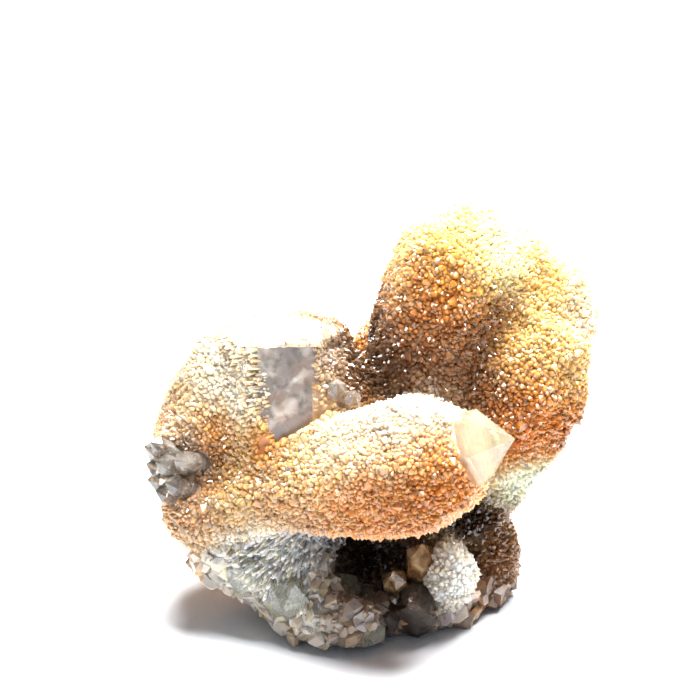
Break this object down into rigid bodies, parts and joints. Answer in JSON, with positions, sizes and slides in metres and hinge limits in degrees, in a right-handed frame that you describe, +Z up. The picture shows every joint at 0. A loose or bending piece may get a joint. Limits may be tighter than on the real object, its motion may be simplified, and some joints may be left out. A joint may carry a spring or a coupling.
{
  "type": "spirit quartz cluster",
  "caption": "Free-standing spirit quartz specimen: druse-coated quartz points grown together, with a few bare glassy crystals and a flat broken base.",
  "frame": {"origin": "middle of the box, at the height of the flat face it rests on", "axes": "+X to the right of the front view, +Y to the back, +Z up"},
  "size_m": [0.0634, 0.0484, 0.0571],
  "materials": {
    "quartz": "orange-brown iron-stained druse, glassy where the crystals are bare"
  },
  "bodies": {
    "root": {"spirit_quartz": "quartz"}
  },
  "joints": []
}
